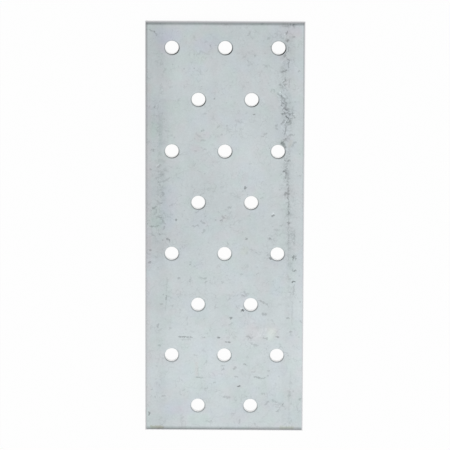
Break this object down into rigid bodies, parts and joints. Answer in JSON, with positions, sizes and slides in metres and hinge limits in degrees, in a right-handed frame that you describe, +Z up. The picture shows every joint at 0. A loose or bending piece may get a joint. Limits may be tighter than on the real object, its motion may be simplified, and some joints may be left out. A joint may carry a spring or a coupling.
{
  "type": "mending plate",
  "caption": "Flat perforated steel mending plate with staggered nail holes, for joining timbers edge to edge or end to end.",
  "frame": {"origin": "middle of the plate's back face, the face that lies on the surface", "axes": "+X across the plate's width, +Y along its length towards the end with a wide row of holes, +Z up through the sheet, out of the face that the punch struck"},
  "size_m": [0.06, 0.16, 0.002],
  "materials": {
    "galvanised_steel": "hot-dip galvanised sheet, matt pale grey with a faint cloudy spangle and light handling marks"
  },
  "bodies": {
    "root": {"mending_plate": "galvanised_steel"}
  },
  "joints": []
}
